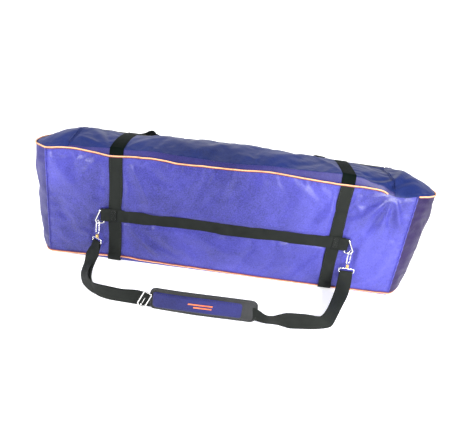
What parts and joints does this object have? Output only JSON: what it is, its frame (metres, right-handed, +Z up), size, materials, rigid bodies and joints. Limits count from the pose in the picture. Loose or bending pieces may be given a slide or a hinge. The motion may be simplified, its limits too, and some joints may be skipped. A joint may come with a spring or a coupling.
{
  "type": "padded telescope carry case",
  "caption": "Long padded fabric carry case with a zipped top lid, webbing straps, a grab handle and a clip-on padded shoulder strap.",
  "frame": {"origin": "middle of the flat underside", "axes": "+X along the case's length, -Y out of the front face that carries the shoulder strap, +Z up through the lid"},
  "size_m": [1.1334, 0.4461, 0.3518],
  "materials": {
    "fabric_blue": "violet-blue woven nylon with a satin sheen",
    "fabric_top": "dark blue woven nylon",
    "pad_fabric": "dark blue woven nylon",
    "webbing": "black ribbed polypropylene webbing",
    "pad_binding": "black woven nylon and binding tape",
    "piping": "orange corded piping with a dark edge tape",
    "foam": "grey closed-cell foam",
    "lining": "dark thin nylon lining",
    "board": "black plastic stiffener",
    "zip_tape": "black coil zip",
    "nickel": "bright nickel plate",
    "brass_barrel": "brassy plated barrel"
  },
  "bodies": {
    "case": {"front_panel": "fabric_blue", "back_panel": "fabric_blue", "left_end_panel": "fabric_blue", "right_end_panel": "fabric_blue", "bottom_panel": "fabric_blue", "bottom_board": "board", "front_foam": "foam", "back_foam": "foam", "left_end_foam": "foam", "right_end_foam": "foam", "lining_tub": "lining", "upper_piping": "piping", "lower_piping": "piping", "top_front_band": "fabric_top", "top_rear_band": "fabric_top", "left_end_cap": "fabric_top", "right_end_cap": "fabric_top", "left_body_strap": "webbing", "right_body_strap": "webbing", "left_band_strap": "webbing", "right_band_strap": "webbing", "left_rear_strap": "webbing", "right_rear_strap": "webbing", "cross_strap": "webbing", "zip_rear_tape": "zip_tape", "left_handle_tab": "webbing", "right_handle_tab": "webbing"},
    "lid": {"lid_panel": "fabric_top", "lid_foam": "foam", "lid_lining": "lining", "left_lid_strap": "webbing", "right_lid_strap": "webbing", "zip_lid_tape": "zip_tape"},
    "zip_slider": {"zip_slider": "nickel"},
    "zip_pull": {"zip_pull_tab": "nickel"},
    "carry_handle": {"carry_handle_webbing": "webbing", "carry_handle_grip": "pad_binding"},
    "left_ring": {"left_ring": "nickel"},
    "right_ring": {"right_ring": "nickel"},
    "shoulder_strap": {"left_strap_webbing": "webbing", "right_strap_webbing": "webbing", "shoulder_pad": "pad_binding", "pad_binding": "pad_binding", "pad_face_panel": "pad_fabric", "left_swivel_eye": "nickel", "right_swivel_eye": "nickel"},
    "adjuster": {"adjuster_frame": "nickel", "adjuster_bar": "nickel"},
    "left_hook": {"left_hook_body": "nickel", "left_hook_barrel": "brass_barrel"},
    "left_gate": {"left_hook_gate": "nickel", "left_gate_spring": "nickel"},
    "right_hook": {"right_hook_body": "nickel", "right_hook_barrel": "brass_barrel"},
    "right_gate": {"right_hook_gate": "nickel", "right_gate_spring": "nickel"}
  },
  "joints": [
    {"name": "lid_hinge", "type": "hinge", "parent": "case", "child": "lid", "pos_m": [0, -0.09909, 0.324], "axis": [1, 0, 0], "range_deg": [0, 140]},
    {"name": "zip_slide", "type": "slide", "parent": "case", "child": "zip_slider", "axis": [-1, 0, 0], "range_m": [0, 0.88]},
    {"name": "zip_pull_hinge", "type": "hinge", "parent": "zip_slider", "child": "zip_pull", "pos_m": [0.45, 0.05904, 0.34886], "axis": [0, -0.9739, 0.227], "range_deg": [0, 170]},
    {"name": "carry_handle_hinge", "type": "hinge", "parent": "case", "child": "carry_handle", "pos_m": [0, 0.1005, 0.3335], "axis": [1, 0, 0], "range_deg": [0, 160]},
    {"name": "left_ring_hinge", "type": "hinge", "parent": "case", "child": "left_ring", "pos_m": [-0.343, -0.1113, 0.1425], "axis": [-0.1392, 0, 0.9903], "range_deg": [-2, 5]},
    {"name": "right_ring_hinge", "type": "hinge", "parent": "case", "child": "right_ring", "pos_m": [0.343, -0.1113, 0.1495], "axis": [-0.0349, 0, -0.9994], "range_deg": [-2, 5]},
    {"name": "shoulder_strap_hinge", "type": "hinge", "parent": "case", "child": "shoulder_strap", "pos_m": [-0.35574, -0.11699, 0.11836], "axis": [-0.9999, 0, -0.0118], "range_deg": [0, 50]},
    {"name": "adjuster_slide", "type": "slide", "parent": "shoulder_strap", "child": "adjuster", "axis": [-1, 0, 0], "range_m": [0, 0.08]},
    {"name": "left_hook_swivel", "type": "hinge", "parent": "shoulder_strap", "child": "left_hook", "pos_m": [-0.35574, -0.11699, 0.11836], "axis": [0, -0.1392, -0.9903], "range_deg": [-8, 38]},
    {"name": "right_hook_swivel", "type": "hinge", "parent": "shoulder_strap", "child": "right_hook", "pos_m": [0.35793, -0.11699, 0.12681], "axis": [0, 0.1392, 0.9903], "range_deg": [-8, 38]},
    {"name": "left_gate_hinge", "type": "hinge", "parent": "left_hook", "child": "left_gate", "pos_m": [-0.34956, -0.12609, 0.09803], "axis": [-0.7071, -0.7002, 0.0984], "range_deg": [0, 22], "stiffness_Nm_per_rad": 0.02, "springref_deg": -11.46},
    {"name": "right_gate_hinge", "type": "hinge", "parent": "right_hook", "child": "right_gate", "pos_m": [0.36412, -0.11384, 0.10475], "axis": [0.7071, -0.7002, 0.0984], "range_deg": [0, 22], "stiffness_Nm_per_rad": 0.02, "springref_deg": -11.46}
  ]
}
